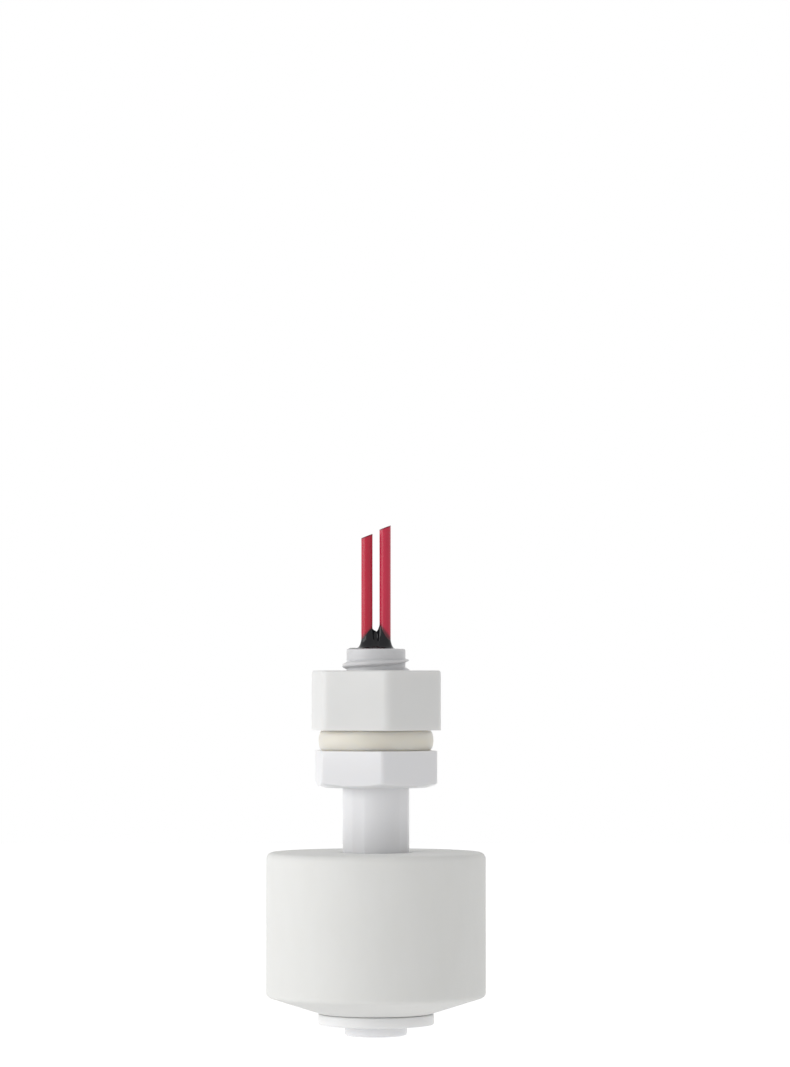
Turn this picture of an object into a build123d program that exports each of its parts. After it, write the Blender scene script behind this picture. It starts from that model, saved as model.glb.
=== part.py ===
from build123d import *
import os
from math import cos, radians, sqrt, tan

# Float level switch, upright, in millimetres. The origin is the centre of the collar's
# top face, which seals against the tank wall. +Z runs up the stud and the lead wires.
# The viewer of the front stands at -Y.

# Stud, collar and stem, moulded as one piece
stud_diameter = 9.5
stud_thread_length = 12.9
stud_run_in = 0.4
pilot_diameter = 8.3
pilot_length = 1.4
pilot_edge_chamfer = 0.2
collar_across_flats = 16.4
collar_corner_radius = 0.6
collar_height = 5.2
collar_turn = 5.5
collar_foot_diameter = 14.4
collar_foot_rise = 0.7
stem_diameter = 9.38
stem_length = 34.8
stem_flat_width = 2.0
stem_flat_count = 4
stem_flat_turn = -32.6
tip_diameter = 8.8
tip_length = 1.5
tip_edge_chamfer = 0.4
bore_diameter = 6.0
bore_floor_thickness = 4.4

# Nut and gasket
hexagon_sides = 6
nut_across_flats = 17.0
nut_corner_radius = 1.4
nut_height = 8.4
nut_turn = 10.0
nut_edge_radius = 0.3
nut_bore_chamfer = 0.5
thread_clearance = 0.05
gasket_diameter = 16.2
gasket_thickness = 2.85
gasket_rim_bulge = 0.6

# Retaining clip
clip_diameter = 16.4
clip_thickness = 1.5
clip_edge_chamfer = 0.25
clip_groove_diameter = 7.2
clip_groove_play = 0.05
clip_mouth_width = 6.4
clip_mouth_flare = 0.8

# Float with its magnet
float_diameter = 30.9
float_wall_height = 20.2
float_cone_height = 2.4
float_foot_diameter = 16.0
float_shoulder_radius = 0.9
float_bore_clearance = 0.35
float_bore_chamfer = 0.3
float_rest_gap = 0.05
float_stop_gap = 0.1
magnet_inner_wall = 0.7
magnet_width = 1.6
magnet_height = 6.0
magnet_clearance = 0.05
magnet_cover_thickness = 1.0

# Reed contact
glass_diameter = 2.2
glass_wall = 0.3
glass_length = 14.0
glass_seal_length = 1.8
glass_end_chamfer = 0.5
reed_sleeve_wall = 0.25
reed_sleeve_overhang = 0.3
reed_lead_diameter = 0.5
blade_width = 1.1
blade_thickness = 0.2
blade_flattening = 1.2
contact_overlap = 1.0
contact_gap = 0.08
lead_bend_radius = 0.9
lead_run_below_glass = 1.0
lead_run_above_glass = 3.5
lead_crossing_gap = 0.3

# Lead wires and their joints to the reed
wire_diameter = 1.6
wire_spacing = 2.56
wire_cut_slope = 21.0
left_wire_height = 30.2
right_wire_height = 31.4
strand_diameter = 0.24
strand_pitch = 0.25
strand_ring_count = 6
jacket_bore_diameter = 0.76
slide_fit = 0.02
lap_gap = 0.07
solder_wall = 0.12
solder_length = 2.4
solder_end_gap = 0.2
bare_strand_length = 0.8
joint_sleeve_wall = 0.2
joint_sleeve_room = 0.05
joint_sleeve_lap = 0.6
joint_sleeve_tail = 0.3
joint_sleeve_floor_gap = 0.7

# Potting
potting_flare_diameter = 4.9
potting_flare_rise = 0.6
potting_neck_diameter = 4.2
potting_neck_rise = 1.8
potting_crown_rise = 2.7
potting_climb_rise = 3.3
potting_climb_width = 0.5
potting_climb_offset = 0.2

# Heights along the axis
stud_end = stud_thread_length + pilot_length
collar_underside = -collar_height
stem_end = collar_underside - stem_length
groove_low = stem_end + tip_length
groove_high = groove_low + clip_thickness + 2 * clip_groove_play
clip_low = groove_low + clip_groove_play
clip_high = clip_low + clip_thickness
float_foot = clip_high + float_rest_gap
float_rim = float_foot + float_cone_height
float_top = float_rim + float_wall_height
float_travel = collar_underside - float_stop_gap - float_top
bore_floor = stem_end + bore_floor_thickness

# Radii shared by pieces that fit each other
stem_radius = stem_diameter / 2
float_bore_radius = stem_radius + float_bore_clearance
nut_bore_radius = stud_diameter / 2 + thread_clearance
groove_radius = clip_groove_diameter / 2
wire_radius = wire_diameter / 2
jacket_bore_radius = jacket_bore_diameter / 2
lead_radius = reed_lead_diameter / 2
glass_radius = glass_diameter / 2
reed_sleeve_radius = glass_radius + slide_fit + reed_sleeve_wall

# The reed stands under the left wire, set forward so that its lead lies beside the strands
left_wire_x = -wire_spacing / 2
right_wire_x = wire_spacing / 2
lap_offset = jacket_bore_radius + lap_gap + lead_radius
reed_y = -lap_offset

# Heights of the lower joint, the reed and the upper joint, built up from the bore's floor
lower_sleeve_low = bore_floor + joint_sleeve_floor_gap
lower_lead_end = lower_sleeve_low + joint_sleeve_tail
lower_solder_low = lower_lead_end + solder_end_gap
lower_solder_high = lower_solder_low + solder_length
lower_sleeve_high = lower_solder_high + joint_sleeve_tail
crossing_height = lower_sleeve_high + lead_bend_radius
right_jacket_end = crossing_height + lead_radius + lead_crossing_gap
glass_low = crossing_height + lead_bend_radius + lead_run_below_glass
glass_high = glass_low + glass_length
reed_centre = (glass_low + glass_high) / 2
upper_solder_low = glass_high + lead_run_above_glass
upper_solder_high = upper_solder_low + solder_length
upper_lead_end = upper_solder_high + solder_end_gap
left_strand_end = upper_solder_low - solder_end_gap
left_jacket_end = upper_solder_high + bare_strand_length
upper_sleeve_low = left_strand_end - joint_sleeve_tail
upper_sleeve_high = left_jacket_end + joint_sleeve_lap


def rounded_hexagon(across_flats, corner_radius, turn):
    """Hexagon with soft corners, one of them turned this far to the right of the front."""
    with BuildSketch() as hexagon:
        RegularPolygon(across_flats / 2, hexagon_sides, major_radius=False, rotation=turn - 90)
        fillet(hexagon.vertices(), corner_radius)
    return hexagon.sketch


# Stem body: threaded stud, hexagonal collar and hollow stem with a closed tip.
# The collar's underside is turned to a shallow cone, so only its corners are lifted.
collar_corner = collar_across_flats / 2 / cos(radians(30))
foot_slope = collar_foot_rise / (collar_corner - collar_foot_diameter / 2)
cone_reach = collar_across_flats
cone_radius = collar_foot_diameter / 2 + cone_reach
flat_distance = sqrt(stem_radius**2 - (stem_flat_width / 2) ** 2)
stem_wall_high = collar_underside - groove_high

with BuildPart() as stem_body:
    with BuildSketch(Plane.XY.offset(collar_underside)):
        add(rounded_hexagon(collar_across_flats, collar_corner_radius, collar_turn))
    extrude(amount=collar_height)
    with BuildSketch(Plane.XZ):
        with BuildLine():
            Polyline(
                (0, collar_underside),
                (collar_foot_diameter / 2, collar_underside),
                (cone_radius, collar_underside + cone_reach * foot_slope),
                (cone_radius, cone_reach),
                (0, cone_reach),
                close=True,
            )
        make_face()
    revolve(axis=Axis.Z, mode=Mode.INTERSECT)

    with BuildSketch():
        Circle(stud_diameter / 2)
    extrude(amount=stud_thread_length)
    thread_start = stem_body.edges().filter_by(GeomType.CIRCLE).sort_by(Axis.Z)[-1]
    chamfer(thread_start, stud_run_in)
    with BuildSketch(Plane.XY.offset(stud_thread_length)):
        Circle(pilot_diameter / 2)
    extrude(amount=pilot_length)
    pilot_edge = stem_body.edges().filter_by(GeomType.CIRCLE).sort_by(Axis.Z)[-1]
    chamfer(pilot_edge, pilot_edge_chamfer)

    with BuildSketch(Plane.XY.offset(groove_high)):
        Circle(stem_radius)
        with PolarLocations(flat_distance + stem_radius / 2, stem_flat_count, stem_flat_turn - 90):
            Rectangle(stem_radius, stem_diameter, mode=Mode.SUBTRACT)
    extrude(amount=stem_wall_high)
    with BuildSketch(Plane.XY.offset(groove_low)):
        Circle(groove_radius)
    extrude(amount=groove_high - groove_low)
    with BuildSketch(Plane.XY.offset(stem_end)):
        Circle(tip_diameter / 2)
    extrude(amount=tip_length)
    tip_edge = stem_body.edges().filter_by(GeomType.CIRCLE).sort_by(Axis.Z)[0]
    chamfer(tip_edge, tip_edge_chamfer)

    with BuildSketch(Plane.XY.offset(bore_floor)):
        Circle(bore_diameter / 2)
    extrude(amount=stud_end - bore_floor, mode=Mode.SUBTRACT)
stem_body.part.label = "stem_body"

# Sealing gasket: silicone washer on the collar, squeezed so that its rim bulges.
gasket_face_radius = gasket_diameter / 2 - gasket_rim_bulge
with BuildPart() as sealing_gasket:
    with BuildSketch(Plane.XZ):
        with BuildLine():
            Polyline(
                (gasket_face_radius, 0),
                (nut_bore_radius, 0),
                (nut_bore_radius, gasket_thickness),
                (gasket_face_radius, gasket_thickness),
            )
            ThreePointArc(
                (gasket_face_radius, gasket_thickness),
                (gasket_diameter / 2, gasket_thickness / 2),
                (gasket_face_radius, 0),
            )
        make_face()
    revolve(axis=Axis.Z)
sealing_gasket.part.label = "sealing_gasket"

# Mounting nut: screwed down on the gasket, its bore countersunk at both ends.
with BuildPart() as mounting_nut:
    with BuildSketch(Plane.XY.offset(gasket_thickness)):
        add(rounded_hexagon(nut_across_flats, nut_corner_radius, nut_turn))
    extrude(amount=nut_height)
    fillet(mounting_nut.edges().group_by(Axis.Z)[-1], nut_edge_radius)
    with BuildSketch(Plane.XY.offset(gasket_thickness)):
        Circle(nut_bore_radius)
    extrude(amount=nut_height, mode=Mode.SUBTRACT)
    nut_bore = mounting_nut.faces().filter_by(GeomType.CYLINDER).sort_by(SortBy.AREA)[-1]
    chamfer(nut_bore.edges().filter_by(GeomType.CIRCLE), nut_bore_chamfer)
mounting_nut.part.label = "mounting_nut"

# Retaining clip: a disc with a mouth at the back, pressed sideways into the stem's groove.
clip_bore_radius = groove_radius + clip_groove_play
clip_mouth_high = clip_diameter / 2
with BuildPart() as retaining_clip:
    with BuildSketch(Plane.XY.offset(clip_low)):
        Circle(clip_diameter / 2)
        Circle(clip_bore_radius, mode=Mode.SUBTRACT)
        with BuildLine():
            Polyline(
                (-clip_mouth_width / 2, 0),
                (clip_mouth_width / 2, 0),
                (clip_mouth_width / 2, clip_mouth_high - clip_mouth_flare),
                (clip_mouth_width / 2 + clip_mouth_flare, clip_mouth_high),
                (-clip_mouth_width / 2 - clip_mouth_flare, clip_mouth_high),
                (-clip_mouth_width / 2, clip_mouth_high - clip_mouth_flare),
                close=True,
            )
        make_face(mode=Mode.SUBTRACT)
    extrude(amount=clip_thickness)
    clip_rim = retaining_clip.faces().filter_by(GeomType.CYLINDER).sort_by(SortBy.AREA)[-1]
    chamfer(clip_rim.edges().filter_by(GeomType.CIRCLE), clip_edge_chamfer)
retaining_clip.part.label = "retaining_clip"

# Float body: foamed cylinder on a shallow cone. The magnet's pocket opens at the foot.
pocket_inner_radius = float_bore_radius + magnet_inner_wall
pocket_outer_radius = pocket_inner_radius + magnet_width + 2 * magnet_clearance
pocket_depth = magnet_cover_thickness + magnet_height + magnet_clearance
with BuildPart() as float_body:
    with BuildSketch(Plane.XZ):
        with BuildLine():
            Polyline(
                (float_bore_radius, float_foot),
                (float_foot_diameter / 2, float_foot),
                (float_diameter / 2, float_rim),
                (float_diameter / 2, float_top),
                (float_bore_radius, float_top),
                close=True,
            )
        make_face()
    revolve(axis=Axis.Z)
    float_shoulder = float_body.edges().group_by(Axis.Z)[-1].sort_by(SortBy.RADIUS)[-1]
    fillet(float_shoulder, float_shoulder_radius)
    float_bore_rims = float_body.faces().filter_by(GeomType.CYLINDER).sort_by(SortBy.AREA)[0]
    chamfer(float_bore_rims.edges().filter_by(GeomType.CIRCLE), float_bore_chamfer)
    with BuildSketch(Plane.XY.offset(float_foot)):
        Circle(pocket_outer_radius)
        Circle(pocket_inner_radius, mode=Mode.SUBTRACT)
    extrude(amount=pocket_depth, mode=Mode.SUBTRACT)
float_body.part.label = "float_body"

# Float magnet: ferrite ring at the top of the pocket.
magnet_low = float_foot + magnet_cover_thickness
with BuildPart() as float_magnet:
    with BuildSketch(Plane.XY.offset(magnet_low)):
        Circle(pocket_outer_radius - magnet_clearance)
        Circle(pocket_inner_radius + magnet_clearance, mode=Mode.SUBTRACT)
    extrude(amount=magnet_height)
float_magnet.part.label = "float_magnet"

# Magnet cover: ring welded into the pocket's mouth, flush with the float's foot.
with BuildPart() as magnet_cover:
    with BuildSketch(Plane.XY.offset(float_foot)):
        Circle(pocket_outer_radius)
        Circle(pocket_inner_radius, mode=Mode.SUBTRACT)
    extrude(amount=magnet_cover_thickness)
magnet_cover.part.label = "magnet_cover"

# Reed blades: each is one nickel-iron wire, flattened to a blade inside the glass.
# The two blades overlap at the middle with a gap between their contact faces.
upper_blade_y = reed_y + (blade_thickness + contact_gap) / 2
lower_blade_y = reed_y - (blade_thickness + contact_gap) / 2
upper_blade_end = reed_centre - contact_overlap / 2
lower_blade_end = reed_centre + contact_overlap / 2
upper_flat_start = glass_high - glass_seal_length
lower_flat_start = glass_low + glass_seal_length

with BuildPart() as upper_reed_blade:
    with BuildSketch(Plane((left_wire_x, reed_y, upper_flat_start))):
        Circle(lead_radius)
    extrude(amount=upper_lead_end - upper_flat_start)
    with BuildSketch(Plane((left_wire_x, reed_y, upper_flat_start))):
        Circle(lead_radius)
    with BuildSketch(Plane((left_wire_x, upper_blade_y, upper_flat_start - blade_flattening))):
        Rectangle(blade_width, blade_thickness)
    loft()
    with BuildSketch(Plane((left_wire_x, upper_blade_y, upper_blade_end))):
        Rectangle(blade_width, blade_thickness)
    extrude(amount=upper_flat_start - blade_flattening - upper_blade_end)
upper_reed_blade.part.label = "upper_reed_blade"

# Below the glass the lower lead crosses over to lie beside the right wire's strands.
with BuildPart() as lower_reed_blade:
    with BuildLine() as lower_lead_path:
        FilletPolyline(
            (left_wire_x, reed_y, lower_flat_start),
            (left_wire_x, reed_y, crossing_height),
            (right_wire_x, reed_y, crossing_height),
            (right_wire_x, reed_y, lower_lead_end),
            radius=lead_bend_radius,
        )
    with BuildSketch(Plane((left_wire_x, reed_y, lower_flat_start))):
        Circle(lead_radius)
    sweep(path=lower_lead_path.line)
    with BuildSketch(Plane((left_wire_x, reed_y, lower_flat_start))):
        Circle(lead_radius)
    with BuildSketch(Plane((left_wire_x, lower_blade_y, lower_flat_start + blade_flattening))):
        Rectangle(blade_width, blade_thickness)
    loft()
    with BuildSketch(Plane((left_wire_x, lower_blade_y, lower_flat_start + blade_flattening))):
        Rectangle(blade_width, blade_thickness)
    extrude(amount=lower_blade_end - lower_flat_start - blade_flattening)
lower_reed_blade.part.label = "lower_reed_blade"

# Reed glass: tube melted shut round the lead at each end.
with BuildPart() as reed_glass:
    with BuildSketch(Plane((left_wire_x, reed_y, glass_low))):
        Circle(glass_radius)
    extrude(amount=glass_length)
    glass_ends = reed_glass.edges().filter_by(GeomType.CIRCLE)
    chamfer(glass_ends, glass_end_chamfer)
    with BuildSketch(Plane((left_wire_x, reed_y, lower_flat_start))):
        Circle(glass_radius - glass_wall)
    extrude(amount=upper_flat_start - lower_flat_start, mode=Mode.SUBTRACT)
    with BuildSketch(Plane((left_wire_x, reed_y, glass_low))):
        Circle(lead_radius)
    extrude(amount=glass_length, mode=Mode.SUBTRACT)
reed_glass.part.label = "reed_glass"

# Reed sleeve: soft tube over the glass that keeps the stiff epoxy off it.
sleeve_low = glass_low - reed_sleeve_overhang
sleeve_height = glass_length + 2 * reed_sleeve_overhang
with BuildPart() as reed_sleeve:
    with BuildSketch(Plane((left_wire_x, reed_y, sleeve_low))):
        Circle(reed_sleeve_radius)
        Circle(glass_radius + slide_fit, mode=Mode.SUBTRACT)
    extrude(amount=sleeve_height)
reed_sleeve.part.label = "reed_sleeve"

# Lead wires: each is a red jacket over seven strands, cut off aslant at the top.
wires = {
    "left": (left_wire_x, left_wire_height, left_jacket_end, left_strand_end),
    "right": (right_wire_x, right_wire_height, right_jacket_end, lower_lead_end),
}
cut_allowance = wire_radius * tan(radians(wire_cut_slope)) + strand_pitch
wire_pieces = []

for side, (wire_x, wire_height, jacket_end, strand_end) in wires.items():
    cut_plane = Plane((wire_x, 0, wire_height)).rotated((0, -wire_cut_slope, 0))
    uncut_end = wire_height + cut_allowance

    with BuildPart() as wire_jacket:
        with BuildSketch(Plane((wire_x, 0, jacket_end))):
            Circle(wire_radius)
            Circle(jacket_bore_radius, mode=Mode.SUBTRACT)
        extrude(amount=uncut_end - jacket_end)
        split(bisect_by=cut_plane, keep=Keep.BOTTOM)
    wire_jacket.part.label = side + "_wire_jacket"
    wire_pieces.append(wire_jacket)

    with BuildPart() as wire_strands:
        with BuildSketch(Plane((wire_x, 0, strand_end))):
            Circle(strand_diameter / 2)
            with PolarLocations(strand_pitch, strand_ring_count):
                Circle(strand_diameter / 2)
        extrude(amount=uncut_end - strand_end)
        split(bisect_by=cut_plane, keep=Keep.BOTTOM)
    wire_strands.part.label = side + "_wire_strands"
    wire_pieces.append(wire_strands)

# Joints: at each one the bare strands and the reed's lead lie side by side in solder
# under a shrink sleeve. The upper sleeve covers the end of its jacket as well.
joints = {
    "upper": (left_wire_x, upper_solder_low, upper_sleeve_low, upper_sleeve_high),
    "lower": (right_wire_x, lower_solder_low, lower_sleeve_low, lower_sleeve_high),
}
solder_radius = jacket_bore_radius + solder_wall
sleeve_inner_radius = wire_radius + joint_sleeve_room
sleeve_outer_radius = sleeve_inner_radius + joint_sleeve_wall
sleeve_reach = lap_offset + solder_radius + joint_sleeve_room - sleeve_inner_radius
joint_pieces = []

for place, (wire_x, solder_low, sleeve_end, sleeve_top) in joints.items():
    with BuildPart() as solder_joint:
        with BuildSketch(Plane((wire_x, reed_y / 2, solder_low))):
            SlotCenterToCenter(lap_offset, 2 * solder_radius, rotation=90)
        extrude(amount=solder_length)
        with BuildSketch(Plane((wire_x, 0, solder_low))):
            Circle(jacket_bore_radius)
        extrude(amount=solder_length, mode=Mode.SUBTRACT)
        with BuildSketch(Plane((wire_x, reed_y, solder_low))):
            Circle(lead_radius)
        extrude(amount=solder_length, mode=Mode.SUBTRACT)
    solder_joint.part.label = place + "_solder_joint"
    joint_pieces.append(solder_joint)

    with BuildPart() as joint_sleeve:
        with BuildSketch(Plane((wire_x, -sleeve_reach / 2, sleeve_end))):
            SlotCenterToCenter(sleeve_reach, 2 * sleeve_outer_radius, rotation=90)
            SlotCenterToCenter(
                sleeve_reach, 2 * sleeve_inner_radius, rotation=90, mode=Mode.SUBTRACT
            )
        extrude(amount=sleeve_top - sleeve_end)
    joint_sleeve.part.label = place + "_joint_sleeve"
    joint_pieces.append(joint_sleeve)

# Potting: epoxy that fills the bore round everything in it. Above the stud it draws in
# to a neck and climbs the inner sides of the two wires.
neck_height = stud_end + potting_neck_rise
with BuildPart() as potting:
    with BuildSketch(Plane.XZ):
        with BuildLine():
            Polyline(
                (0, stud_end + potting_crown_rise),
                (0, bore_floor),
                (bore_diameter / 2, bore_floor),
                (bore_diameter / 2, stud_end),
                (potting_flare_diameter / 2, stud_end + potting_flare_rise),
                (potting_neck_diameter / 2, neck_height),
                close=True,
            )
        make_face()
    revolve(axis=Axis.Z)
    climb_height = potting_climb_rise - potting_neck_rise
    climb_middle = neck_height + climb_height / 2
    for inward, wire_x in ((1, left_wire_x), (-1, right_wire_x)):
        with Locations((wire_x + inward * potting_climb_offset, 0, climb_middle)):
            Cone(wire_radius + potting_climb_width, wire_radius, climb_height)
    for wire_x, jacket_end in ((left_wire_x, left_jacket_end), (right_wire_x, right_jacket_end)):
        with BuildSketch(Plane((wire_x, 0, jacket_end))):
            Circle(wire_radius)
        extrude(amount=right_wire_height - jacket_end, mode=Mode.SUBTRACT)
    with BuildSketch(Plane((right_wire_x, 0, lower_sleeve_high))):
        Circle(jacket_bore_radius)
    extrude(amount=right_jacket_end - lower_sleeve_high, mode=Mode.SUBTRACT)
    for wire_x, _, sleeve_end, sleeve_top in joints.values():
        with BuildSketch(Plane((wire_x, -sleeve_reach / 2, sleeve_end))):
            SlotCenterToCenter(sleeve_reach, 2 * sleeve_outer_radius, rotation=90)
        extrude(amount=sleeve_top - sleeve_end, mode=Mode.SUBTRACT)
    with BuildSketch(Plane((left_wire_x, reed_y, sleeve_low))):
        Circle(reed_sleeve_radius)
    extrude(amount=sleeve_height, mode=Mode.SUBTRACT)
    add(upper_reed_blade.part, mode=Mode.SUBTRACT)
    add(lower_reed_blade.part, mode=Mode.SUBTRACT)
potting.part.label = "potting"

print("float travel", round(float_travel, 3))
print("reed centre", round(reed_centre, 3))

pieces = [
    stem_body,
    sealing_gasket,
    mounting_nut,
    retaining_clip,
    float_body,
    float_magnet,
    magnet_cover,
    upper_reed_blade,
    lower_reed_blade,
    reed_glass,
    reed_sleeve,
    *wire_pieces,
    *joint_pieces,
    potting,
]
os.makedirs("parts", exist_ok=True)
for piece in pieces:
    export_step(piece.part, "parts/" + piece.part.label + ".step")
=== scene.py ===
from math import asin, atan, atan2, copysign, cos, exp, hypot, log, pi, radians, sin, sqrt, tan, tau

import bmesh
import bpy
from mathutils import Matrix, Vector


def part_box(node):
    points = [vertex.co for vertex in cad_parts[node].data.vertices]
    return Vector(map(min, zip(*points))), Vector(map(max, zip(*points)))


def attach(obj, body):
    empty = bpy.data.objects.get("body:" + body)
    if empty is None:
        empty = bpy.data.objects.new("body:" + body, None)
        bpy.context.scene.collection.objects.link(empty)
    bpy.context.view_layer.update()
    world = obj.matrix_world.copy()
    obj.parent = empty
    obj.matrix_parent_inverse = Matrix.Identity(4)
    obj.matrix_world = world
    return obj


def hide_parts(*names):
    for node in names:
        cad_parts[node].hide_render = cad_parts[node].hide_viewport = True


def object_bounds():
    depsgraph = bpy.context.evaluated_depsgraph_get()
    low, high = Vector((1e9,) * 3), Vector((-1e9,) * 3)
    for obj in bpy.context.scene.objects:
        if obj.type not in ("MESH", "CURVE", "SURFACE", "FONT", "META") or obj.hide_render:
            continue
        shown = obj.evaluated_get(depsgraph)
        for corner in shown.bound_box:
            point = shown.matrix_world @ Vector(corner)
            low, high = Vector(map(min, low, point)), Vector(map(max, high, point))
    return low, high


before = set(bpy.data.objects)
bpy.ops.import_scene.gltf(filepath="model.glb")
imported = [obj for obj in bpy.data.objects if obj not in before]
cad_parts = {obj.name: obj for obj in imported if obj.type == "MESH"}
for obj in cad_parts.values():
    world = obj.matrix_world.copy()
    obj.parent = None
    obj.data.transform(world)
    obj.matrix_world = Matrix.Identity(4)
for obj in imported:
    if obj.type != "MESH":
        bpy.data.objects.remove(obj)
cad_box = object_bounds()

mm = 0.001
scene = bpy.context.scene
scene.view_settings.view_transform = "Standard"


# The viewpoint. The photograph looks almost level at the switch, from the height of its nut.
# The switch stands in the lower half of the picture, so the camera tips up a little.
picture_width = 790
picture_height = 1067
collar_x = 376.0
collar_y = 750.4
pixel_size = 0.141 * mm
viewing_distance = 600 * mm
viewing_height = 10 * mm
focal_length = viewing_distance / pixel_size

camera = bpy.data.cameras.new("camera")
camera.sensor_width = 36
camera.lens = camera.sensor_width * focal_length / picture_height
viewpoint = bpy.data.objects.new("camera", camera)
viewpoint.location = (0, -viewing_distance, viewing_height)
collar_below = atan((collar_y - picture_height / 2) / focal_length)
tip_up = collar_below - atan(viewing_height / viewing_distance)
turn_right = atan((picture_width / 2 - collar_x) / focal_length)
viewpoint.rotation_euler = (pi / 2 + tip_up, 0, -turn_right)
scene.collection.objects.link(viewpoint)
scene.camera = viewpoint


# The studio. White all round and dimmer overhead, one large soft lamp at the left front, and
# a white floor well below the switch, which still shows the switch's shadow.
class Value:
    """A node's output, on which arithmetic adds Math nodes."""

    def __init__(self, graph, socket):
        self.graph = graph
        self.socket = socket

    def math(self, operation, first, second):
        """A Math node's result."""
        settings = {"operation": operation}
        return self.graph.node("ShaderNodeMath", settings, {0: first, 1: second})

    def __add__(self, other):
        return self.math("ADD", self, other)

    def __radd__(self, other):
        return self.math("ADD", other, self)

    def __sub__(self, other):
        return self.math("SUBTRACT", self, other)

    def __rsub__(self, other):
        return self.math("SUBTRACT", other, self)

    def __mul__(self, other):
        return self.math("MULTIPLY", self, other)

    def __rmul__(self, other):
        return self.math("MULTIPLY", other, self)


class Graph:
    """An emptied node tree that nodes are added to."""

    def __init__(self, tree):
        self.tree = tree
        tree.nodes.clear()

    def node(self, kind, settings=None, sockets=None, output=0):
        """Adds a node, gives it its settings and then its sockets' values or links, and returns
        one of its outputs."""
        made = self.tree.nodes.new(kind)
        for name, value in (settings or {}).items():
            setattr(made, name, value)
        for name, value in (sockets or {}).items():
            if isinstance(value, Value):
                self.tree.links.new(value.socket, made.inputs[name])
            else:
                made.inputs[name].default_value = value
        if made.outputs:
            return Value(self, made.outputs[output])
        return None

    def colour_between(self, share, first, second):
        """The colour that lies this share of the way from the first to the second."""
        ends = [end if isinstance(end, Value) else (*end, 1) for end in (first, second)]
        sockets = {0: share, 6: ends[0], 7: ends[1]}
        return self.node("ShaderNodeMix", {"data_type": "RGBA"}, sockets, output=2)

    def coordinate(self, vector, axis):
        """One coordinate of a vector."""
        return self.node("ShaderNodeSeparateXYZ", sockets={0: vector}, output=axis)


def seen_directly(graph):
    """1 for a ray from the camera or from a shiny or clear surface, and 0 for plain lighting."""
    seen = graph.node("ShaderNodeLightPath", output="Is Camera Ray")
    for kind in ("Is Glossy Ray", "Is Transmission Ray"):
        seen = seen.math("MAXIMUM", seen, graph.node("ShaderNodeLightPath", output=kind))
    return seen


overhead_light = 0.48
underneath_light = 0.88
right_light = 0.09
back_light = 0.08
world = bpy.data.worlds.new("studio")
scene.world = world
world.use_nodes = True
studio = Graph(world.node_tree)
direction = studio.node("ShaderNodeTexCoord", output="Generated")
rightward = studio.coordinate(direction, "X")
backward = studio.coordinate(direction, "Y")
upward = studio.coordinate(direction, "Z")
fill = (upward + 1) * ((overhead_light - underneath_light) / 2) + underneath_light
fill = fill + rightward * right_light + backward * back_light
strength = fill + seen_directly(studio) * (1 - fill)
sky = studio.node("ShaderNodeBackground", sockets={"Color": (1, 1, 1, 1), "Strength": strength})
studio.node("ShaderNodeOutputWorld", sockets={"Surface": sky})

lamp_width = 1500 * mm
lamp_height = 560 * mm
lamp_place = Vector((-1230, -450, 330)) * mm
lamp_power = 7.9
lamp = bpy.data.lights.new("softbox", "AREA")
lamp.shape = "RECTANGLE"
lamp.size = lamp_width
lamp.size_y = lamp_height
lamp.energy = lamp_power
softbox = bpy.data.objects.new("softbox", lamp)
softbox.location = lamp_place
softbox.rotation_euler = (-lamp_place).to_track_quat("-Z", "Y").to_euler()
scene.collection.objects.link(softbox)

floor_drop = 70 * mm
floor_reach = 2500 * mm
floor_colour = (0.9, 0.9, 0.9)
floor_glow = 0.19
floor_lift = 0.40
floor_height = cad_box[0].z - floor_drop
floor_sides = ((-1, -1), (1, -1), (1, 1), (-1, 1))
floor_corners = [(x * floor_reach, y * floor_reach, floor_height) for x, y in floor_sides]
floor_mesh = bpy.data.meshes.new("floor")
floor_mesh.from_pydata(floor_corners, [], [(0, 1, 2, 3)])
floor = bpy.data.objects.new("floor", floor_mesh)
scene.collection.objects.link(floor)
floor_paint = bpy.data.materials.new("floor_paint")
floor_paint.use_nodes = True
paint = Graph(floor_paint.node_tree)
matt = paint.node("ShaderNodeBsdfDiffuse", sockets={"Color": (*floor_colour, 1)})
lift = seen_directly(paint) * floor_lift + floor_glow
glow = paint.node("ShaderNodeEmission", sockets={"Color": (1, 1, 1, 1), "Strength": lift})
both = paint.node("ShaderNodeAddShader", sockets={0: matt, 1: glow})
paint.node("ShaderNodeOutputMaterial", sockets={"Surface": both})
floor_mesh.materials.append(floor_paint)


# Stem body. One polypropylene moulding: the threaded stud above, the hexagonal collar that
# seals on the tank wall, and the hollow stem below it with four witness flats, the clip's
# groove and a closed tip. Its origin is the collar's top face.
stem_low, stem_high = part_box("stem_body")
stud_crest_radius = 4.75 * mm
stud_root_radius = 4.15 * mm
thread_pitch = 1.5 * mm
thread_crest_share = 0.10
thread_flank_share = 0.37
thread_first_crest = 12.68 * mm
thread_start_fullness = 0.85
thread_start_width = 0.5
thread_start_turns = 0.012
thread_growth_turns = 0.3
thread_top = 13.35 * mm
thread_rows = 16
pilot_rounding = 0.25 * mm
bore_radius = 3.0 * mm
bore_floor = -35.6 * mm
collar_across_flats = 16.4 * mm
collar_corner = 0.7 * mm
collar_rounding = 0.14 * mm
collar_foot_bevel = 0.3 * collar_rounding
collar_height = 5.2 * mm
collar_turn = radians(5.5)
collar_foot_radius = 7.2 * mm
collar_foot_slope = 0.308
stem_radius = 4.69 * mm
stem_root_fillet = 0.25 * mm
stem_flat_half = 1.0 * mm
stem_flat_turn = radians(-32.6)
stem_flat_count = 4
flat_edge_softness = 0.02
groove_radius = 3.6 * mm
groove_low = -38.5 * mm
groove_high = -36.9 * mm
groove_low_chamfer = 0.08 * mm
groove_high_chamfer = 0.15 * mm
tip_radius = 4.4 * mm
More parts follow.
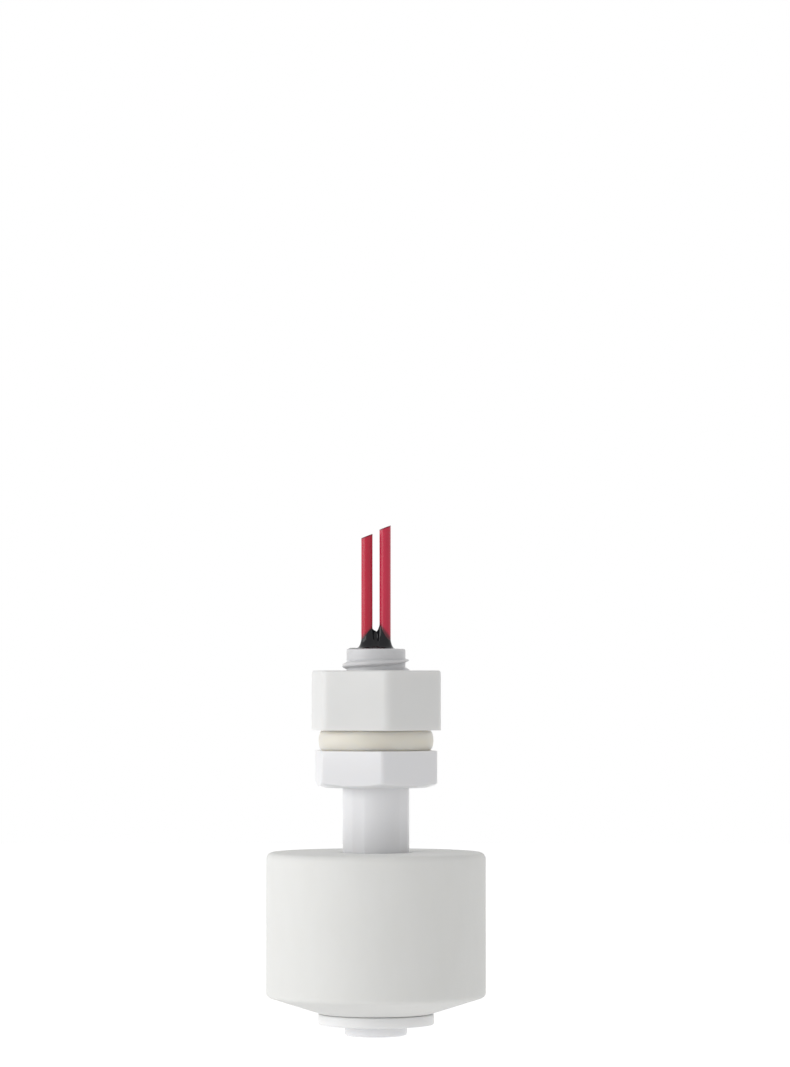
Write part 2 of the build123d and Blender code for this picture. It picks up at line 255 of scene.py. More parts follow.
tip_rounding = 0.45 * mm
rounding_steps = 4
stem_columns = 180
collar_corner_degrees = (-2.4, -1.6, -0.8, 0, 0.8, 1.6, 2.4)


def spread_angles(count, corners=(), spread=()):
    """Angles all the way round: a spread of them at each corner, and even ones elsewhere."""
    close = tau / count / 6
    angles = [(corner + offset) % tau for corner in corners for offset in spread]
    for step in range(count):
        angle = tau * step / count
        if all(abs((angle - other + pi) % tau - pi) > close for other in angles):
            angles.append(angle)
    return sorted(angles)


def ring(angles, radius, height, centre=(0, 0)):
    """Points round an upright axis. The radius and the height may change with the angle."""
    points = []
    for angle in angles:
        z = height(angle) if callable(height) else height
        r = radius(angle, z) if callable(radius) else radius
        points.append(Vector((centre[0] + r * cos(angle), centre[1] + r * sin(angle), z)))
    return points


def skin(shape, rings, pierced=False, thread=range(0), turn_rows=0):
    """Closes rings of points into a solid's skin. A pierced solid joins its last ring to its
    first. The rings of a thread climb by one turn's worth of rings each time round."""
    rows = [[shape.verts.new(point) for point in points] for points in rings]
    columns = len(rings[0])

    def corner(row, column):
        if column < columns:
            return rows[row][column]
        if row in thread:
            return rows[min(row + turn_rows, thread[-1])][0]
        return rows[row][0]

    neighbours = list(zip(range(len(rows) - 1), range(1, len(rows))))
    if pierced:
        neighbours.append((len(rows) - 1, 0))
    else:
        shape.faces.new(rows[0])
        shape.faces.new(rows[-1])
    for low, high in neighbours:
        for column in range(columns):
            corners = [
                corner(low, column),
                corner(low, column + 1),
                corner(high, column + 1),
                corner(high, column),
            ]
            corners = list(dict.fromkeys(corners))
            if len(corners) > 2:
                shape.faces.new(corners)


def made_piece(name, shape, material, sharp_from=radians(34)):
    """An object from a finished skin, shaded smoothly except at its sharp edges."""
    bmesh.ops.remove_doubles(shape, verts=shape.verts, dist=0.0002 * mm)
    bmesh.ops.recalc_face_normals(shape, faces=shape.faces)
    mesh = bpy.data.meshes.new(name)
    shape.to_mesh(mesh)
    shape.free()
    mesh.shade_smooth()
    mesh.set_sharp_from_angle(angle=sharp_from)
    mesh.materials.append(material)
    piece = bpy.data.objects.new(name, mesh)
    scene.collection.objects.link(piece)
    return piece


def rounded_edge(reach, rise, steps):
    """Steps over a quarter round from an upright face to a level one: how far each has drawn in
    from the upright face, and how far it still is from the level one."""
    quarters = [pi / 2 * step / steps for step in range(steps + 1)]
    return [(reach * (1 - cos(t)), rise * (1 - sin(t))) for t in quarters]


def hexagon(across_flats, corner_radius, turn, inset=0.0):
    """The distance from the axis to a hexagon's side, with soft corners, by angle."""
    least_rounding = 0.05 * mm
    half = across_flats / 2 - inset
    rounding = max(corner_radius - inset, least_rounding)
    corner_distance = (half - rounding) / cos(pi / 6)
    straight_from = pi / 6 - atan((half - rounding) * tan(pi / 6) / half)

    def radius(angle, height):
        from_corner = abs((angle - turn) % (pi / 3) - pi / 6)
        if from_corner > straight_from:
            return half / cos(pi / 6 - from_corner)
        beside = corner_distance * sin(from_corner)
        return corner_distance * cos(from_corner) + sqrt(rounding**2 - beside**2)

    return radius


def smooth_step(value):
    """A soft rise from 0 to 1, level outside that range."""
    held = min(max(value, 0), 1)
    return held * held * (3 - 2 * held)


def thread_profile(beside):
    """A thread's height from 1 to 0, at this share of a pitch beside the middle of its crest."""
    down_flank = (beside - thread_crest_share) / (thread_flank_share - thread_crest_share)
    return 1 - smooth_step(down_flank)


def stud_thread(angle, height):
    """The stud's radius: one right-hand ridge, which starts narrow at the right of the front."""
    turns = (height - thread_first_crest) / thread_pitch
    crest_turns = angle / tau + round(turns - angle / tau)
    grown = smooth_step(-crest_turns / thread_growth_turns)
    width = thread_start_width + (1 - thread_start_width) * grown
    fullness = thread_start_fullness + (1 - thread_start_fullness) * grown
    ridge = thread_profile(abs(turns - crest_turns) / width)
    start = smooth_step((thread_start_turns - crest_turns) / thread_start_turns)
    return stud_root_radius + (stud_crest_radius - stud_root_radius) * ridge * start * fullness


def thread_heights(low, high):
    """The heights of a thread's rings, each of which climbs by one pitch as it goes round."""
    turns = int((high - low) / thread_pitch) + 2
    steps = [thread_pitch * (row / thread_rows - 1) for row in range(turns * thread_rows + 1)]

    def climbing(step):
        return lambda angle: min(max(low + step + thread_pitch * angle / tau, low), high)

    return [climbing(step) for step in steps]


flat_distance = sqrt(stem_radius**2 - stem_flat_half**2)
flat_half_angle = asin(stem_flat_half / stem_radius)
flat_angles = [stem_flat_turn - pi / 2 + tau * k / stem_flat_count for k in range(stem_flat_count)]


def stem_side(inset=0.0):
    """The stem's radius: round, with a narrow flat at each of four sides."""

    def radius(angle, height):
        from_flat = min(abs((angle - flat + pi) % tau - pi) for flat in flat_angles)
        if from_flat < flat_half_angle:
            return flat_distance / cos(from_flat) - inset
        return stem_radius - inset

    return radius


class Finish(Graph):
    """The nodes of a new material, which follow the place on the object."""

    def __init__(self, name):
        self.material = bpy.data.materials.new(name)
        self.material.use_nodes = True
        super().__init__(self.material.node_tree)
        self.place = self.node("ShaderNodeTexCoord", output="Object")

    def noise(self, scale, detail, stretch=None):
        """A cloudy pattern from 0 to 1, drawn out along an axis whose stretch is under 1."""
        place = self.place
        if stretch:
            place = self.node("ShaderNodeMapping", sockets={"Vector": place, "Scale": stretch})
        sockets = {"Vector": place, "Scale": scale, "Detail": detail}
        return self.node("ShaderNodeTexNoise", sockets=sockets)

    def relief(self, pattern, strength, distance):
        """The normal of a surface that a pattern raises and lowers."""
        sockets = {"Strength": strength, "Distance": distance, "Height": pattern}
        return self.node("ShaderNodeBump", sockets=sockets)

    def fade(self, value, low, high, at_low=0.0, at_high=1.0):
        """A soft change from one number to another, as a value goes from low to high."""
        settings = {"interpolation_type": "SMOOTHSTEP"}
        ends = {"From Min": low, "From Max": high, "To Min": at_low, "To Max": at_high}
        return self.node("ShaderNodeMapRange", settings, {"Value": value, **ends})

    def finished(self, sockets):
        """The material, with these values and links on its surface."""
        surface = self.node("ShaderNodeBsdfPrincipled", sockets=sockets)
        self.node("ShaderNodeOutputMaterial", sockets={"Surface": surface})
        return self.material


def shaded(colour, share):
    """A colour made darker or lighter."""
    return tuple(share * part for part in colour)


def moulded_plastic(name, colour, roughness, cloudiness, shades=()):
    """Polypropylene as moulded: satin, a little cloudy, and slightly see-through. Its shade changes
    above each height in turn, from what a thin wall holds and from painted light and shade."""
    finish = Finish(name)
    cloud = finish.noise(scale=220.0, detail=2.0)
    grain = finish.noise(scale=5200.0, detail=1.0)
    shade = finish.colour_between(cloud, colour, shaded(colour, 0.965))
    for low, high, share in shades:
        upward = finish.coordinate(finish.place, "Z")
        above = finish.fade(upward, low, high)
        shade = finish.colour_between(above, shade, shaded(colour, share))
    return finish.finished({
        "Base Color": shade,
        "Roughness": roughness + 0.1 * (cloud - 0.5),
        "Normal": finish.relief(grain, strength=0.12, distance=0.02 * mm),
        "IOR": 1.49,
        "Subsurface Weight": 0.6,
        "Subsurface Radius": (1.0, 0.95, 0.9),
        "Subsurface Scale": cloudiness,
    })


# Shade steps up the stem. It is lighter at the solid tip, where no epoxy lies behind the wall. It
# is lighter toward the collar and darker toward the float's top, which is painted light and painted
# shade. It is darker over the stud.
stem_tones_and_painted_shade = (
    (bore_floor, bore_floor + 3 * mm, 0.815),
    (-14 * mm, -8 * mm, 0.94),
    (1 * mm, 9 * mm, 0.755),
)
stem_plastic = moulded_plastic("stem_plastic", (0.895, 0.895, 0.91), 0.34, 0.7 * mm, stem_tones_and_painted_shade)

collar_corners = [collar_turn + pi / 6 + k * pi / 3 for k in range(6)]
flat_edges = []
for flat in flat_angles:
    for beside in (-flat_edge_softness, 0, flat_edge_softness):
        flat_edges += [flat - flat_half_angle + beside, flat + flat_half_angle + beside]
collar_corner_spread = [radians(degrees) for degrees in collar_corner_degrees]
stem_angles = spread_angles(stem_columns, collar_corners, collar_corner_spread)
stem_angles = sorted(stem_angles + [edge % tau for edge in flat_edges])
stud_end = stem_high.z
stem_end = stem_low.z

stem_rings = []
for inward, down in reversed(rounded_edge(tip_rounding, tip_rounding, rounding_steps)):
    stem_rings.append(ring(stem_angles, tip_radius - inward, stem_end + down))
stem_rings.append(ring(stem_angles, tip_radius, groove_low - groove_low_chamfer))
stem_rings.append(ring(stem_angles, tip_radius - groove_low_chamfer, groove_low))
stem_rings.append(ring(stem_angles, groove_radius, groove_low))
stem_rings.append(ring(stem_angles, groove_radius, groove_high))
stem_rings.append(ring(stem_angles, stem_side(groove_high_chamfer), groove_high))
stem_rings.append(ring(stem_angles, stem_side(), groove_high + groove_high_chamfer))
for outward, up in rounded_edge(stem_root_fillet, stem_root_fillet, rounding_steps):
    stem_rings.append(ring(stem_angles, stem_side(-outward), -collar_height - up))
stem_rings.append(ring(stem_angles, collar_foot_radius, -collar_height))


def collar_underside(inset, lift):
    """A ring on the collar's coned underside, this far in from its side."""
    side = hexagon(collar_across_flats, collar_corner, collar_turn, inset)

    def height(angle):
        beyond_foot = max(side(angle, 0) - collar_foot_radius, 0)
        return -collar_height + collar_foot_slope * beyond_foot + lift

    return ring(stem_angles, side, height)


stem_rings.append(collar_underside(collar_rounding, 0))
stem_rings.append(collar_underside(collar_foot_bevel, collar_foot_bevel))
stem_rings.append(collar_underside(0, collar_rounding))
for inward, down in rounded_edge(collar_rounding, collar_rounding, rounding_steps):
    edge = hexagon(collar_across_flats, collar_corner, collar_turn, inward)
    stem_rings.append(ring(stem_angles, edge, -down))
first_thread_ring = len(stem_rings)
for climb in thread_heights(0, thread_top):
    stem_rings.append(ring(stem_angles, stud_thread, climb))
stem_thread = range(first_thread_ring, len(stem_rings))
for inward, down in rounded_edge(pilot_rounding, pilot_rounding, rounding_steps):
    stem_rings.append(ring(stem_angles, stud_root_radius - inward, stud_end - down))
stem_rings.append(ring(stem_angles, bore_radius, stud_end))
stem_rings.append(ring(stem_angles, bore_radius, bore_floor))

stem_shape = bmesh.new()
skin(stem_shape, stem_rings, thread=stem_thread, turn_rows=thread_rows)
stem = made_piece("threaded_stem", stem_shape, stem_plastic)
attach(stem, "stem")
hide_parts("stem_body")


# Sealing gasket. A washer of cream translucent silicone, squeezed between the nut and the
# collar so that its rim bulges.
_, gasket_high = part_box("sealing_gasket")
gasket_radius = gasket_high.x
gasket_thickness = gasket_high.z
gasket_bore_radius = 4.8 * mm
gasket_bulge = 0.6 * mm
gasket_rim_steps = 16
gasket_columns = 128


def silicone(name, colour, depth_colour):
    """Cream silicone rubber: cloudy, softly shiny, and light passes some way into it."""
    finish = Finish(name)
    cloud = finish.noise(scale=260.0, detail=3.0)
    bloom = finish.noise(scale=1900.0, detail=2.0)
    return finish.finished({
        "Base Color": finish.colour_between(cloud, colour, depth_colour),
        "Roughness": 0.34 + 0.12 * bloom,
        "Normal": finish.relief(bloom, strength=0.2, distance=0.03 * mm),
        "IOR": 1.43,
        "Subsurface Weight": 1.0,
        "Subsurface Radius": (1.0, 0.92, 0.75),
        "Subsurface Scale": 3.0 * mm,
    })


gasket_angles = spread_angles(gasket_columns)
gasket_rings = [ring(gasket_angles, gasket_bore_radius, z) for z in (gasket_thickness, 0)]
for step in range(gasket_rim_steps + 1):
    t = pi * step / gasket_rim_steps - pi / 2
    radius = gasket_radius - gasket_bulge * (1 - cos(t))
    gasket_rings.append(ring(gasket_angles, radius, gasket_thickness / 2 * (1 + sin(t))))
gasket_shape = bmesh.new()
skin(gasket_shape, gasket_rings, pierced=True)
gasket_silicone = silicone("cream_silicone", (0.855, 0.81, 0.71), (0.83, 0.755, 0.645))
gasket = made_piece("silicone_washer", gasket_shape, gasket_silicone)
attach(gasket, "stem")
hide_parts("sealing_gasket")


# Mounting nut. A moulded polypropylene hexagon with soft upper edges, whose thread is
# screwed down the stud until the gasket is squeezed.
nut_low, nut_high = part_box("mounting_nut")
nut_across_flats = 17.0 * mm
nut_corner = 1.4 * mm
nut_turn = radians(10)
nut_top_rounding = 0.38 * mm
nut_foot_rounding = 0.12 * mm
nut_thread_clearance = 0.06 * mm
nut_countersink_radius = 5.3 * mm
nut_columns = 132
nut_corner_degrees = range(-4, 5)


def nut_bore(angle, height):
    """The nut's thread, which follows the stud's at a clearance, countersunk at both ends."""
    turns = (height - thread_first_crest) / thread_pitch - angle / tau
    groove = thread_profile(abs(turns - round(turns)))
    groove_depth = (stud_crest_radius - stud_root_radius) * groove
    threaded = stud_root_radius + groove_depth + nut_thread_clearance
    from_end = min(height - nut_low.z, nut_high.z - height)
    return max(threaded, nut_countersink_radius - from_end)


nut_corners = [nut_turn + pi / 6 + k * pi / 3 for k in range(6)]
nut_corner_spread = [radians(degrees) for degrees in nut_corner_degrees]
nut_angles = spread_angles(nut_columns, nut_corners, nut_corner_spread)
nut_rings = [ring(nut_angles, nut_bore, climb) for climb in thread_heights(nut_low.z, nut_high.z)]
nut_thread = range(len(nut_rings))
for inward, down in reversed(rounded_edge(nut_top_rounding, nut_top_rounding, rounding_steps)):
    edge = hexagon(nut_across_flats, nut_corner, nut_turn, inward)
    nut_rings.append(ring(nut_angles, edge, nut_high.z - down))
for inward, up in rounded_edge(nut_foot_rounding, nut_foot_rounding, rounding_steps):
    edge = hexagon(nut_across_flats, nut_corner, nut_turn, inward)
    nut_rings.append(ring(nut_angles, edge, nut_low.z + up))
nut_shape = bmesh.new()
skin(nut_shape, nut_rings, pierced=True, thread=nut_thread, turn_rows=thread_rows)
nut_plastic = moulded_plastic("nut_plastic", (0.81, 0.81, 0.80), 0.45, 1.3 * mm)
nut = made_piece("threaded_nut", nut_shape, nut_plastic)
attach(nut, "nut")
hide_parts("mounting_nut")


# Retaining clip. A polypropylene disc with a mouth at its back, pushed sideways into the
# stem's groove so that the float can't drop off.
clip_low, clip_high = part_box("retaining_clip")
clip_radius = clip_high.x
clip_bore_radius = 3.65 * mm
clip_mouth_half = 3.2 * mm
clip_mouth_flare = 0.8 * mm
clip_flare_depth = 1.6 * clip_mouth_flare
clip_rounding = 0.28 * mm
clip_rim_steps = 96
clip_bore_steps = 48


def clip_outline():
    """The clip's outline, once round: its rim, one side of the mouth, its bore, the other."""
    rim_from = asin((clip_mouth_half + clip_mouth_flare) / clip_radius)
    bore_from = asin(clip_mouth_half / clip_bore_radius)
    points = []
    for step in range(clip_rim_steps + 1):
        t = pi / 2 + rim_from + (tau - 2 * rim_from) * step / clip_rim_steps
        points.append((clip_radius * cos(t), clip_radius * sin(t)))
    points.append((clip_mouth_half, clip_radius - clip_flare_depth))
    for step in range(clip_bore_steps + 1):
        t = pi / 2 - bore_from - (tau - 2 * bore_from) * step / clip_bore_steps
        points.append((clip_bore_radius * cos(t), clip_bore_radius * sin(t)))
    points.append((-clip_mouth_half, clip_radius - clip_flare_depth))
    return points


clip_shape = bmesh.new()
clip_foot = [clip_shape.verts.new((x, y, clip_low.z)) for x, y in clip_outline()]
clip_shape.faces.new(clip_foot)
raised = bmesh.ops.extrude_face_region(clip_shape, geom=clip_shape.faces[:])
raised_points = [item for item in raised["geom"] if isinstance(item, bmesh.types.BMVert)]
bmesh.ops.translate(clip_shape, verts=raised_points, vec=(0, 0, clip_high.z - clip_low.z))
clip_edges = [edge for edge in clip_shape.edges if edge.verts[0].co.z == edge.verts[1].co.z]
bmesh.ops.bevel(
    clip_shape, geom=clip_edges, offset=clip_rounding, segments=3, affect="EDGES", profile=0.5
)
clip_plastic = moulded_plastic("clip_plastic", (0.875, 0.875, 0.875), 0.42, 1.3 * mm)
clip = made_piece("snap_clip", clip_shape, clip_plastic)
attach(clip, "stem")
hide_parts("retaining_clip")


# Float body. Foamed polypropylene with a matt, faintly mottled skin: a cylinder on a
# shallow cone, bored for the stem, with the magnet's pocket open at its foot.
float_low, float_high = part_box("float_body")
float_radius = float_high.x
float_cone_height = 2.4 * mm
float_foot_radius = 8.0 * mm
float_foot_edge = 0.12 * mm
float_cone_edge = 0.1 * mm
float_cone_edge_rise = 0.06 * mm
float_shoulder = 0.9 * mm
float_rim_rounding = 0.55 * mm
float_edge_steps = 8
float_wall_rows = 24
float_columns = 192
float_bore_radius = 5.04 * mm
float_bore_rounding = 0.3 * mm
pocket_inner_radius = 5.74 * mm
pocket_outer_radius = 7.44 * mm
pocket_top = float_low.z + 7.05 * mm


def foam(name, colour, shadow_colour):
    """Foamed polypropylene's skin: clouded in soft upright streaks, matt, finely uneven."""
    finish = Finish(name)
    streaks = finish.noise(scale=420.0, detail=4.0, stretch=(1.0, 1.0, 0.35))
    clouds = finish.noise(scale=130.0, detail=3.0)
    cells = finish.noise(scale=1500.0, detail=2.0)
    return finish.finished({
        "Base Color": finish.colour_between(0.5 * streaks + 0.5 * clouds, colour, shadow_colour),
        "Roughness": 0.62 + 0.16 * cells,
        "Normal": finish.relief(0.6 * cells + 0.4 * streaks, strength=0.35, distance=0.06 * mm),
        "IOR": 1.45,
        "Subsurface Weight": 0.3,
        "Subsurface Radius": (1.0, 0.95, 0.88),
        "Subsurface Scale": 1.0 * mm,
    })


float_foam = foam("float_foam", (0.85, 0.85, 0.835), (0.79, 0.79, 0.765))
float_angles = spread_angles(float_columns)
float_top = float_high.z
float_foot = float_low.z
float_rim = float_foot + float_cone_height
float_rings = [
    ring(float_angles, pocket_outer_radius, float_foot),
    ring(float_angles, float_foot_radius - float_foot_edge, float_foot),
    ring(float_angles, float_foot_radius + float_cone_edge, float_foot + float_cone_edge_rise),
]
cone_slope = atan2(float_cone_height, float_radius - float_foot_radius)
rim_corner = Vector((float_radius, float_rim))
rim_start = rim_corner - float_rim_rounding * Vector((cos(cone_slope), sin(cone_slope)))
rim_end = Vector((float_radius, float_rim + float_rim_rounding))
for step in range(float_edge_steps + 1):
    t = step / float_edge_steps
    x, z = rim_start.lerp(rim_corner, t).lerp(rim_corner.lerp(rim_end, t), t)
    float_rings.append(ring(float_angles, x, z))
wall_low = float_rim + float_rim_rounding
wall_high = float_top - float_shoulder
for row in range(1, float_wall_rows):
    z = wall_low + (wall_high - wall_low) * row / float_wall_rows
    float_rings.append(ring(float_angles, float_radius, z))
for inward, down in rounded_edge(float_shoulder, float_shoulder, float_edge_steps):
    float_rings.append(ring(float_angles, float_radius - inward, float_top - down))
bore_edge = rounded_edge(float_bore_rounding, float_bore_rounding, rounding_steps)
for outward, down in reversed(bore_edge):
    float_rings.append(ring(float_angles, float_bore_radius + outward, float_top - down))
for outward, up in bore_edge:
    float_rings.append(ring(float_angles, float_bore_radius + outward, float_foot + up))
float_rings.append(ring(float_angles, pocket_inner_radius, float_foot))
float_rings.append(ring(float_angles, pocket_inner_radius, pocket_top))
float_rings.append(ring(float_angles, pocket_outer_radius, pocket_top))
float_shape = bmesh.new()
skin(float_shape, float_rings, pierced=True)
foam_float = made_piece("foam_float", float_shape, float_foam)
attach(foam_float, "float")
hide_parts("float_body")


# Lead wires. Each is seven twisted tinned strands in crimson insulation, comes up out of the
# epoxy and is cut off aslant. The epoxy, whose edge is highest between the wires, has wetted
# it dark a little further up.
wire_radius = 0.8 * mm
jacket_bore_radius = 0.38 * mm
wire_cut_slope = tan(radians(21))
strand_radius = 0.12 * mm
strand_pitch_radius = 0.25 * mm
strand_twist = 14 * mm
strand_ring_count = 6
strand_rows_per_mm = 1.6
strand_cut_row = 0.1 * mm
wire_columns = 40
strand_columns = 10
cut_edge_depth = 0.3 * mm
left_climb = 2.72 * mm
right_climb = 3.3 * mm
outer_climb = 1.2 * mm
wetted_reach = 0.8 * mm
darkest_share = 0.85
# The colour of the painted shade along the cut rim.
painted_cut_shade = (0.10, 0.010, 0.028)
wetted_crimson = (0.035, 0.008, 0.013)


def insulation(name, colour, dark_colour, wire_x, wire_top, inner_climb):
    """Extruded insulation: faint draw lines along it, a soft gloss, painted shade along the cut
    rim, and a darkened band above the epoxy."""
    finish = Finish(name)
    lines = finish.noise(scale=3000.0, detail=2.0, stretch=(1.0, 1.0, 0.04))
    cloud = finish.noise(scale=300.0, detail=2.0)
    across = finish.coordinate(finish.place, "X") - wire_x
    upward = finish.coordinate(finish.place, "Z")
    below_cut = across * wire_cut_slope + wire_top - upward
    inward = 0.5 - across * (copysign(1, wire_x) / (2 * wire_radius))
    above_epoxy = upward - stud_end - outer_climb - inward * (inner_climb - outer_climb)
    # Painted shade: the crimson darkens towards the slanted cut's rim.
    cut_shade = finish.fade(below_cut, 0.0, cut_edge_depth, darkest_share, 0.0)
    wetted = finish.fade(above_epoxy, 0.0, wetted_reach, darkest_share, 0.0)
    crimson = finish.colour_between(cloud, colour, dark_colour)
    crimson = finish.colour_between(wetted, crimson, wetted_crimson)
    return finish.finished({
        "Base Color": finish.colour_between(cut_shade, crimson, painted_cut_shade),
        "Roughness": 0.19 + 0.08 * lines,
        "Normal": finish.relief(lines, strength=0.15, distance=0.02 * mm),
        "IOR": 1.5,
        "Specular IOR Level": 0.42,
    })


def bare_metal(name, colour, dark_colour, roughness):
    """Plated or tinned metal, dulled unevenly."""
    finish = Finish(name)
    dulled = finish.noise(scale=1800.0, detail=3.0)
    return finish.finished({
        "Base Color": finish.colour_between(dulled, colour, dark_colour),
        "Roughness": roughness + 0.2 * dulled,
        "Metallic": 1.0,
    })


tinned_copper = bare_metal("tinned_copper", (0.70, 0.66, 0.60), (0.52, 0.46, 0.40), 0.25)
wire_angles = spread_angles(wire_columns)
strand_angles = spread_angles(strand_columns)

# The right wire's crimson is lighter than the left's, though both are the same insulation: painted
# light.
wires = {
    "left": ((0.55, 0.007, 0.040), (0.50, 0.004, 0.032), left_climb),
    "right": ((0.60, 0.018, 0.062), (0.55, 0.014, 0.053), right_climb),
}

for side, (light_crimson, dark_crimson, climb) in wires.items():
    jacket_low, jacket_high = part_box(side + "_wire_jacket")
    strand_low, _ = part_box(side + "_wire_strands")
    wire_x = (jacket_low.x + jacket_high.x) / 2
    wire_top = jacket_high.z - wire_radius * wire_cut_slope

    def cut_height(radius, centre_x=0.0):
        """The height of the slanting cut at a distance from the wire's middle."""
        return lambda angle: wire_top + (centre_x + radius * cos(angle)) * wire_cut_slope

    jacket_rings = [
        ring(wire_angles, jacket_bore_radius, jacket_low.z, (wire_x, 0)),
        ring(wire_angles, wire_radius, jacket_low.z, (wire_x, 0)),
        ring(wire_angles, wire_radius, cut_height(wire_radius), (wire_x, 0)),
        ring(wire_angles, jacket_bore_radius, cut_height(jacket_bore_radius), (wire_x, 0)),
    ]
    jacket_shape = bmesh.new()
    skin(jacket_shape, jacket_rings, pierced=True)
    crimson = insulation(side + "_crimson", light_crimson, dark_crimson, wire_x, wire_top, climb)
    jacket = made_piece(side + "_insulation", jacket_shape, crimson)
    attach(jacket, "stem")
    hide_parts(side + "_wire_jacket")

    strands_shape = bmesh.new()
    strand_length = wire_top - strand_low.z
    rows = int(strand_length / mm * strand_rows_per_mm)
    for strand in range(strand_ring_count + 1):
        lay_radius = strand_pitch_radius if strand else 0.0
        strand_rings = []
        for row in range(rows + 1):
            z = strand_low.z + strand_length * row / rows
            turned = tau * (strand / strand_ring_count + (wire_top - z) / strand_twist)
            aside, forward = lay_radius * cos(turned), lay_radius * sin(turned)
            if row == rows:
                z = cut_height(strand_radius, aside)
            elif row == rows - 1:
                z -= strand_cut_row
            strand_rings.append(ring(strand_angles, strand_radius, z, (wire_x + aside, forward)))
        skin(strands_shape, strand_rings)
    strands = made_piece(side + "_twisted_strands", strands_shape, tinned_copper)
    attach(strands, "stem")
    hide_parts(side + "_wire_strands")


# Potting. Black epoxy poured into the bore round the reed and the wires. It has drawn up
# between the wires and in a tent round them, and run in a thin film over the stud's end.
potting_low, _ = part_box("potting")
wire_half_spacing = 1.28 * mm
valley_climb = 2.42 * mm
left_fall = 1.1
right_fall = 0.6
side_spread = 0.22 * mm
front_spread = 0.55 * mm
side_cut = 0.06
front_cut = 0.25
coat_share = 0.5
coat_spread = 0.16 * mm
lobe_blend = 0.6 * mm
gap_half = wire_half_spacing - wire_radius
lobes_part = gap_half / 4
tent_radius = bore_radius * 1.05
tent_fade = 0.5 * mm
tent_rows = 110
film_thickness = 0.15 * mm
film_radius = 4.10 * mm
film_everywhere = 0.2
film_at_left = 0.75
film_left = radians(185)
film_waves = 5
film_wave = 0.05
film_edge_steepness = 12
film_seat = 0.005 * mm
bore_gap = 0.004 * mm
bore_mouth = 0.02 * mm
epoxy_columns = 200


def epoxy_height(x, y):
    """How far the epoxy stands above the stud's end. It climbs highest on the wires' inner
    sides, dips between them, and falls away round them in a thin coat and a wider flare."""
    from_middle = abs(x)
    inner_climb, fall = (right_climb, right_fall) if x > 0 else (left_climb, left_fall)
    if from_middle < gap_half:
        climb = valley_climb + (inner_climb - valley_climb) * (from_middle / gap_half) ** 2
    else:
        outward = (from_middle - gap_half) / (2 * wire_radius)
        climb = inner_climb + (outer_climb - inner_climb) * smooth_step(outward) ** fall
    beyond_end = max(from_middle - wire_half_spacing, 0)
    beyond_both = max(hypot(beyond_end, y) - wire_radius, 0)
    near, far = (hypot(from_middle + side * wire_half_spacing, y) - wire_radius for side in (-1, 1))
    lobed = -lobe_blend * log(exp(-near / lobe_blend) + exp(-far / lobe_blend))
    parted = smooth_step((abs(y) - lobes_part) / gap_half)
    beyond = beyond_both + (max(lobed, 0) - beyond_both) * parted
    if beyond <= 0:
        return climb
    sideways = beyond_end / hypot(beyond_end, y)
    spread = front_spread + (side_spread - front_spread) * sideways
    cut = front_cut + (side_cut - front_cut) * sideways
    coat = coat_share * (1 - sideways)
    flared = (1 + cut) * exp(-beyond / spread) - cut
    standing = coat * exp(-beyond / coat_spread) + (1 - coat) * flared
    return climb * max(standing, 0) * smooth_step((tent_radius - hypot(x, y)) / tent_fade)


def film_spread(angle):
    """How far the film has run, from 0 to 1, which is furthest at the left."""
    leftward = max(cos(angle - film_left), 0)
    return film_everywhere + film_at_left * leftward**2 + film_wave * cos(film_waves * angle)


def film_edge(angle, height=0):
    """The distance from the axis to the film's uneven edge, the same at any height."""
    return bore_radius + (film_radius - bore_radius) * film_spread(angle)


def epoxy(name, colour):
    """Cured epoxy: near black, with the smooth gloss of a poured surface."""
    finish = Finish(name)
    cloud = finish.noise(scale=500.0, detail=2.0)
    ripple = finish.noise(scale=900.0, detail=1.0)
    return finish.finished({
        "Base Color": finish.colour_between(cloud, colour, shaded(colour, 1.6)),
        "Roughness": 0.05 + 0.06 * cloud,
        "Normal": finish.relief(ripple, strength=0.25, distance=0.05 * mm),
        "IOR": 1.5,
        "Specular IOR Level": 0.25,
    })


def stud_edge_depth(radius):
    """How far the stud's rounded edge has fallen at this distance from the axis."""
    beyond = min(max(radius - stud_root_radius + pilot_rounding, 0) / pilot_rounding, 1)
    return pilot_rounding * (1 - sqrt(1 - beyond**2))


def film_foot(angle):
    """The height of the film's edge, on the stud's end or over its rounded edge."""
    return stud_end - stud_edge_depth(film_edge(angle)) - film_seat


epoxy_angles = spread_angles(epoxy_columns)


def epoxy_ring(share):
    """A ring of the epoxy's top surface, this share of the way in from the film's edge."""
    points = []
    for angle in epoxy_angles:
        radius = film_edge(angle) * (1 - share)
        x, y = radius * cos(angle), radius * sin(angle)
        film = film_thickness * film_spread(angle) * smooth_step(share * film_edge_steepness)
        film -= stud_edge_depth(radius)
        points.append(Vector((x, y, stud_end + film + epoxy_height(x, y))))
    return points


epoxy_rings = [
    ring(epoxy_angles, bore_radius - bore_gap, potting_low.z),
    ring(epoxy_angles, bore_radius - bore_gap, stud_end - bore_mouth),
    ring(epoxy_angles, bore_radius, stud_end - film_seat),
    ring(epoxy_angles, film_edge, film_foot),
]
for row in range(tent_rows):
    epoxy_rings.append(epoxy_ring(row / tent_rows))
epoxy_shape = bmesh.new()
skin(epoxy_shape, epoxy_rings)
black_epoxy = epoxy("black_epoxy", (0.006, 0.006, 0.008))
potting = made_piece("poured_epoxy", epoxy_shape, black_epoxy, sharp_from=radians(60))
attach(potting, "stem")
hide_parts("potting")


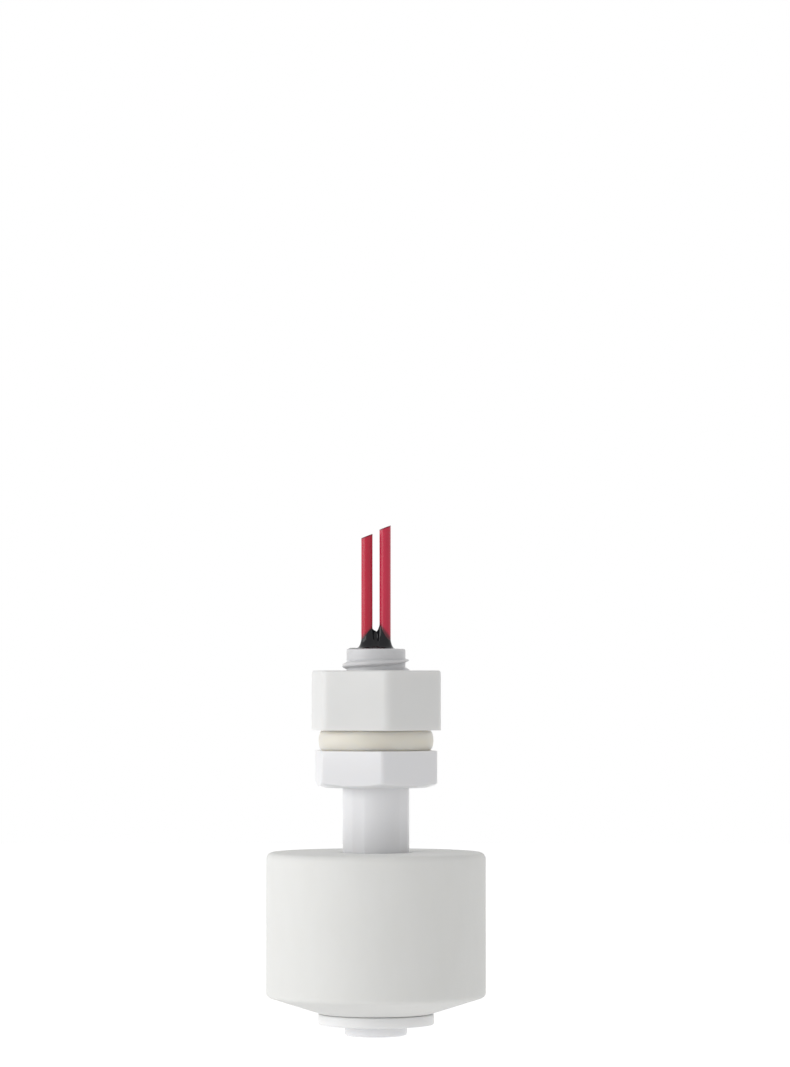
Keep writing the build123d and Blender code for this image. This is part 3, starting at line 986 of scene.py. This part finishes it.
# Float magnet and its cover. A sintered ferrite ring in the float's pocket, and the foamed
# ring welded over it, flush with the float's foot.
def ferrite(name, colour, glint_colour):
    """Sintered ferrite: charcoal, matt, with a fine glitter of grain."""
    finish = Finish(name)
    grain = finish.noise(scale=4000.0, detail=3.0)
    return finish.finished({
        "Base Color": finish.colour_between(grain, colour, glint_colour),
        "Roughness": 0.45 + 0.3 * grain,
        "Metallic": 0.3 * grain,
        "Normal": finish.relief(grain, strength=0.4, distance=0.03 * mm),
    })


def finish_node(node, material):
    """Gives a carried-over node its finish."""
    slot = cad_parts[node].material_slots[0]
    slot.link = "OBJECT"
    slot.material = material


finish_node("float_magnet", ferrite("ferrite", (0.045, 0.045, 0.05), (0.09, 0.09, 0.095)))
finish_node("magnet_cover", float_foam)


# Reed contact and its joints. Two plated nickel-iron blades sealed in a glass tube, in a
# soft sleeve, each soldered to its wire's strands under black shrink tubing.
def sealed_glass(name, colour):
    """Greenish glass of the kind that seals to iron."""
    finish = Finish(name)
    flow = finish.noise(scale=700.0, detail=1.0)
    return finish.finished({
        "Base Color": finish.colour_between(flow, colour, shaded(colour, 0.9)),
        "Roughness": 0.03 + 0.03 * flow,
        "Transmission Weight": 0.9,
        "IOR": 1.5,
    })


def shrink_tubing(name, colour):
    """Black shrink tubing: satin, wrinkled a little where it has drawn down."""
    finish = Finish(name)
    wrinkle = finish.noise(scale=1200.0, detail=3.0)
    return finish.finished({
        "Base Color": finish.colour_between(wrinkle, colour, shaded(colour, 1.5)),
        "Roughness": 0.4 + 0.2 * wrinkle,
        "Normal": finish.relief(wrinkle, strength=0.3, distance=0.05 * mm),
    })


reed_plating = bare_metal("reed_plating", (0.62, 0.60, 0.56), (0.50, 0.48, 0.45), 0.2)
dull_solder = bare_metal("dull_solder", (0.60, 0.60, 0.61), (0.42, 0.42, 0.43), 0.35)
black_tubing = shrink_tubing("black_tubing", (0.02, 0.02, 0.021))
finish_node("reed_glass", sealed_glass("reed_glass", (0.72, 0.86, 0.78)))
finish_node("reed_sleeve", black_tubing)
for level in ("upper", "lower"):
    finish_node(level + "_reed_blade", reed_plating)
    finish_node(level + "_solder_joint", dull_solder)
    finish_node(level + "_joint_sleeve", black_tubing)
